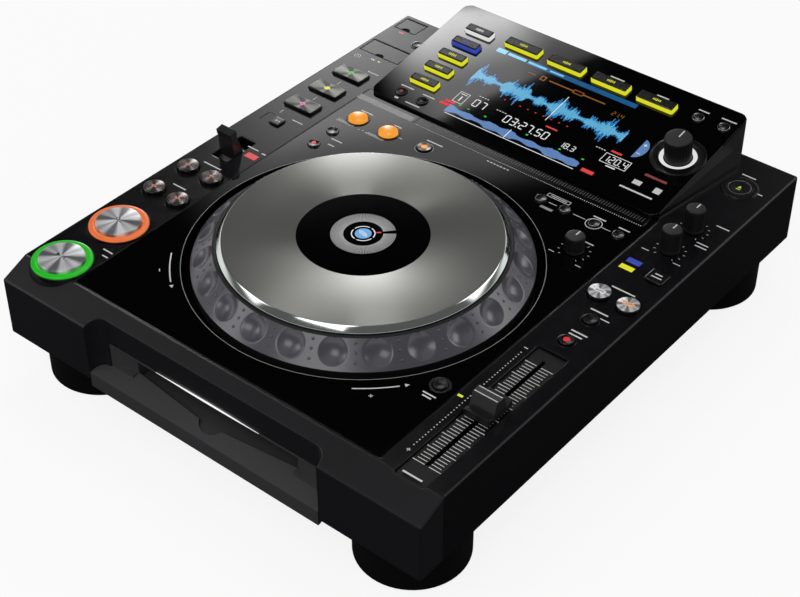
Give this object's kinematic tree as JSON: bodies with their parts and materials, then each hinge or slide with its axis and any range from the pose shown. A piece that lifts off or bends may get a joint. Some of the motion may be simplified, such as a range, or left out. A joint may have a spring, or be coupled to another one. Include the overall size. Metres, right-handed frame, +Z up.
{
  "type": "tabletop dj cd player",
  "caption": "Tabletop disc player with a slot-loading front, large jog wheel, tilted display, tempo fader and lit push buttons, on tall round feet.",
  "frame": {"origin": "on the table, under the middle of the player's overall width and depth", "axes": "+X to the user's right, +Y from the user to the back, where the display is, +Z up"},
  "size_m": [0.32, 0.396, 0.1079],
  "materials": {
    "board": "green circuit board",
    "button_black": "satin black",
    "case_plastic": "fine matte texture, near black",
    "deck_gloss": "polished black",
    "display_gloss": "dark tinted panel",
    "drive_steel": "plated sheet",
    "fader_plate": "matte black",
    "foot_rubber": "smooth dark rubber",
    "housing_plastic": "fine matte texture",
    "key_plastic": "translucent lit key, dark top",
    "knob_black": "knurled black",
    "lens_plastic": "dark tinted lens",
    "light_plastic": "back-lit translucent ring",
    "lip_plastic": "satin dark grey",
    "pad_metal": "spun metal film",
    "pan_metal": "black powder coat",
    "pickup_metal": "die-cast, black",
    "platter_aluminium": "radially brushed",
    "ring_plastic": "smoked dark grey, moulded dimples",
    "roller_rubber": "soft rubber on a steel shaft",
    "screw_steel": "zinc plated",
    "silver_plastic": "spun metal film",
    "socket_parts": "socket bodies with plated shells",
    "spindle_plastic": "plain",
    "strip_pad": "smooth touch strip"
  },
  "bodies": {
    "case": {"base_pan": "pan_metal", "upper_case": "case_plastic", "front_panel": "case_plastic", "rear_panel": "pan_metal", "media_wells": "socket_parts", "deck_panel": "deck_gloss", "disc_lip": "lip_plastic", "display_housing": "housing_plastic", "display_glass": "display_gloss", "feet": "foot_rubber", "sockets": "socket_parts", "drive_frame": "drive_steel", "electronics": "board", "transport_light_rings": "light_plastic", "slider_plate": "fader_plate", "needle_pad": "strip_pad", "case_screws": "screw_steel", "jog_post": "spindle_plastic"},
    "jog": {"jog_ring": "ring_plastic", "jog_plate": "platter_aluminium", "jog_window": "lens_plastic"},
    "play_button": {"play_button": "silver_plastic"},
    "cue_button": {"cue_button": "silver_plastic"},
    "search_buttons": {"search_buttons": "silver_plastic"},
    "track_buttons": {"track_buttons": "silver_plastic"},
    "usb_stop_button": {"usb_stop_button": "button_black"},
    "eject_button": {"eject_button": "button_black"},
    "sync_button": {"sync_button": "silver_plastic"},
    "master_button": {"master_button": "silver_plastic"},
    "tempo_buttons": {"tempo_buttons": "button_black"},
    "record_mode_button": {"record_mode_button": "button_black"},
    "hot_cue_pad_a": {"hot_cue_pad_a": "pad_metal"},
    "hot_cue_pad_b": {"hot_cue_pad_b": "pad_metal"},
    "hot_cue_pad_c": {"hot_cue_pad_c": "pad_metal"},
    "jog_mode_button": {"jog_mode_button": "button_black"},
    "loop_in_button": {"loop_in_button": "silver_plastic"},
    "loop_out_button": {"loop_out_button": "silver_plastic"},
    "reloop_button": {"reloop_button": "button_black"},
    "slip_loop_buttons": {"slip_loop_buttons": "silver_plastic"},
    "cue_memory_buttons": {"cue_memory_buttons": "silver_plastic"},
    "tempo_reset_button": {"tempo_reset_button": "button_black"},
    "link_key": {"link_key": "key_plastic"},
    "computer_key": {"computer_key": "key_plastic"},
    "usb_key": {"usb_key": "key_plastic"},
    "sd_key": {"sd_key": "key_plastic"},
    "disc_key": {"disc_key": "key_plastic"},
    "browse_keys": {"browse_keys": "key_plastic"},
    "menu_buttons": {"menu_buttons": "button_black"},
    "power_button": {"power_button": "button_black"},
    "selector_knob": {"selector_knob": "knob_black"},
    "touch_brake_knob": {"touch_brake_knob": "knob_black"},
    "release_start_knob": {"release_start_knob": "knob_black"},
    "jog_adjust_knob": {"jog_adjust_knob": "knob_black"},
    "direction_lever": {"direction_lever": "knob_black"},
    "usb_door": {"usb_door": "case_plastic"},
    "sd_door": {"sd_door": "case_plastic"},
    "loading_roller": {"loading_roller": "roller_rubber"},
    "disc_spindle": {"disc_spindle": "spindle_plastic"},
    "tempo_slider": {"tempo_slider": "button_black"},
    "optical_pickup": {"optical_pickup": "pickup_metal"}
  },
  "joints": [
    {"name": "jog_spin", "type": "hinge", "parent": "case", "child": "jog", "pos_m": [0, -0.0532, 0.079], "axis": [0, 0, 1], "continuous": true},
    {"name": "play_button_press", "type": "slide", "parent": "case", "child": "play_button", "axis": [0, 0, -1], "range_m": [0, 0.001], "stiffness_N_per_m": 800, "springref_m": -0.001},
    {"name": "cue_button_press", "type": "slide", "parent": "case", "child": "cue_button", "axis": [0, 0, -1], "range_m": [0, 0.001], "stiffness_N_per_m": 800, "springref_m": -0.001},
    {"name": "search_buttons_press", "type": "slide", "parent": "case", "child": "search_buttons", "axis": [0, 0, -1], "range_m": [0, 0.0008], "stiffness_N_per_m": 400, "springref_m": -0.001},
    {"name": "track_buttons_press", "type": "slide", "parent": "case", "child": "track_buttons", "axis": [0, 0, -1], "range_m": [0, 0.0008], "stiffness_N_per_m": 400, "springref_m": -0.001},
    {"name": "usb_stop_button_press", "type": "slide", "parent": "case", "child": "usb_stop_button", "axis": [0, 0, -1], "range_m": [0, 0.0008], "stiffness_N_per_m": 400, "springref_m": -0.001},
    {"name": "eject_button_press", "type": "slide", "parent": "case", "child": "eject_button", "axis": [0, 0, -1], "range_m": [0, 0.0008], "stiffness_N_per_m": 400, "springref_m": -0.001},
    {"name": "sync_button_press", "type": "slide", "parent": "case", "child": "sync_button", "axis": [0, 0, -1], "range_m": [0, 0.0008], "stiffness_N_per_m": 400, "springref_m": -0.001},
    {"name": "master_button_press", "type": "slide", "parent": "case", "child": "master_button", "axis": [0, 0, -1], "range_m": [0, 0.0008], "stiffness_N_per_m": 400, "springref_m": -0.001},
    {"name": "tempo_buttons_press", "type": "slide", "parent": "case", "child": "tempo_buttons", "axis": [0, 0, -1], "range_m": [0, 0.0008], "stiffness_N_per_m": 400, "springref_m": -0.001},
    {"name": "record_mode_button_press", "type": "slide", "parent": "case", "child": "record_mode_button", "axis": [0, 0, -1], "range_m": [0, 0.0008], "stiffness_N_per_m": 400, "springref_m": -0.001},
    {"name": "hot_cue_pad_a_press", "type": "slide", "parent": "case", "child": "hot_cue_pad_a", "axis": [0, 0, -1], "range_m": [0, 0.0008], "stiffness_N_per_m": 400, "springref_m": -0.001},
    {"name": "hot_cue_pad_b_press", "type": "slide", "parent": "case", "child": "hot_cue_pad_b", "axis": [0, 0, -1], "range_m": [0, 0.0008], "stiffness_N_per_m": 400, "springref_m": -0.001},
    {"name": "hot_cue_pad_c_press", "type": "slide", "parent": "case", "child": "hot_cue_pad_c", "axis": [0, 0, -1], "range_m": [0, 0.0008], "stiffness_N_per_m": 400, "springref_m": -0.001},
    {"name": "jog_mode_button_press", "type": "slide", "parent": "case", "child": "jog_mode_button", "axis": [0, 0, -1], "range_m": [0, 0.0008], "stiffness_N_per_m": 400, "springref_m": -0.001},
    {"name": "loop_in_button_press", "type": "slide", "parent": "case", "child": "loop_in_button", "axis": [0, 0, -1], "range_m": [0, 0.0008], "stiffness_N_per_m": 400, "springref_m": -0.001},
    {"name": "loop_out_button_press", "type": "slide", "parent": "case", "child": "loop_out_button", "axis": [0, 0, -1], "range_m": [0, 0.0008], "stiffness_N_per_m": 400, "springref_m": -0.001},
    {"name": "reloop_button_press", "type": "slide", "parent": "case", "child": "reloop_button", "axis": [0, 0, -1], "range_m": [0, 0.0008], "stiffness_N_per_m": 400, "springref_m": -0.001},
    {"name": "slip_loop_buttons_press", "type": "slide", "parent": "case", "child": "slip_loop_buttons", "axis": [0, 0, -1], "range_m": [0, 0.0008], "stiffness_N_per_m": 400, "springref_m": -0.001},
    {"name": "cue_memory_buttons_press", "type": "slide", "parent": "case", "child": "cue_memory_buttons", "axis": [0, 0, -1], "range_m": [0, 0.0008], "stiffness_N_per_m": 400, "springref_m": -0.001},
    {"name": "tempo_reset_button_press", "type": "slide", "parent": "case", "child": "tempo_reset_button", "axis": [0, 0, -1], "range_m": [0, 0.0008], "stiffness_N_per_m": 400, "springref_m": -0.001},
    {"name": "link_key_press", "type": "slide", "parent": "case", "child": "link_key", "axis": [0, 0.1668, -0.986], "range_m": [0, 0.0008], "stiffness_N_per_m": 400, "springref_m": -0.001},
    {"name": "computer_key_press", "type": "slide", "parent": "case", "child": "computer_key", "axis": [0, 0.1668, -0.986], "range_m": [0, 0.0008], "stiffness_N_per_m": 400, "springref_m": -0.001},
    {"name": "usb_key_press", "type": "slide", "parent": "case", "child": "usb_key", "axis": [0, 0.1668, -0.986], "range_m": [0, 0.0008], "stiffness_N_per_m": 400, "springref_m": -0.001},
    {"name": "sd_key_press", "type": "slide", "parent": "case", "child": "sd_key", "axis": [0, 0.1668, -0.986], "range_m": [0, 0.0008], "stiffness_N_per_m": 400, "springref_m": -0.001},
    {"name": "disc_key_press", "type": "slide", "parent": "case", "child": "disc_key", "axis": [0, 0.1668, -0.986], "range_m": [0, 0.0008], "stiffness_N_per_m": 400, "springref_m": -0.001},
    {"name": "browse_keys_press", "type": "slide", "parent": "case", "child": "browse_keys", "axis": [0, 0.1668, -0.986], "range_m": [0, 0.0008], "stiffness_N_per_m": 400, "springref_m": -0.001},
    {"name": "menu_buttons_press", "type": "slide", "parent": "case", "child": "menu_buttons", "axis": [0, 0.1668, -0.986], "range_m": [0, 0.0008], "stiffness_N_per_m": 400, "springref_m": -0.001},
    {"name": "power_button_press", "type": "slide", "parent": "case", "child": "power_button", "axis": [0, -1, 0], "range_m": [0, 0.002], "stiffness_N_per_m": 500, "springref_m": -0.001},
    {"name": "selector_knob_turn", "type": "hinge", "parent": "case", "child": "selector_knob", "pos_m": [0.097, 0.14126, 0.08984], "axis": [0, -0.1668, 0.986], "continuous": true},
    {"name": "touch_brake_knob_turn", "type": "hinge", "parent": "case", "child": "touch_brake_knob", "pos_m": [0.1383, 0.0952, 0.079], "axis": [0, 0, 1], "range_deg": [-140, 140]},
    {"name": "release_start_knob_turn", "type": "hinge", "parent": "case", "child": "release_start_knob", "pos_m": [0.1383, 0.0686, 0.079], "axis": [0, 0, 1], "range_deg": [-140, 140]},
    {"name": "jog_adjust_knob_turn", "type": "hinge", "parent": "case", "child": "jog_adjust_knob", "pos_m": [0.0939, 0.032, 0.079], "axis": [0, 0, 1], "range_deg": [-140, 140]},
    {"name": "direction_lever_tilt", "type": "hinge", "parent": "case", "child": "direction_lever", "pos_m": [-0.139, -0.019, 0.065], "axis": [-1, 0, 0], "range_deg": [0, 21]},
    {"name": "usb_door_hinge", "type": "hinge", "parent": "case", "child": "usb_door", "pos_m": [-0.147, 0.18025, 0.078], "axis": [-1, 0, 0], "range_deg": [0, 95]},
    {"name": "sd_door_hinge", "type": "hinge", "parent": "case", "child": "sd_door", "pos_m": [-0.1392, 0.14325, 0.078], "axis": [-1, 0, 0], "range_deg": [0, 95]},
    {"name": "loading_roller_spin", "type": "hinge", "parent": "case", "child": "loading_roller", "pos_m": [0, -0.158, 0.0448], "axis": [1, 0, 0], "continuous": true},
    {"name": "disc_spindle_spin", "type": "hinge", "parent": "case", "child": "disc_spindle", "pos_m": [0, -0.097, 0.045], "axis": [0, 0, 1], "continuous": true},
    {"name": "tempo_slide", "type": "slide", "parent": "case", "child": "tempo_slider", "axis": [0, 1, 0], "range_m": [-0.05, 0.05]},
    {"name": "pickup_travel", "type": "slide", "parent": "case", "child": "optical_pickup", "axis": [0, 1, 0], "range_m": [-0.006, 0.032]}
  ]
}
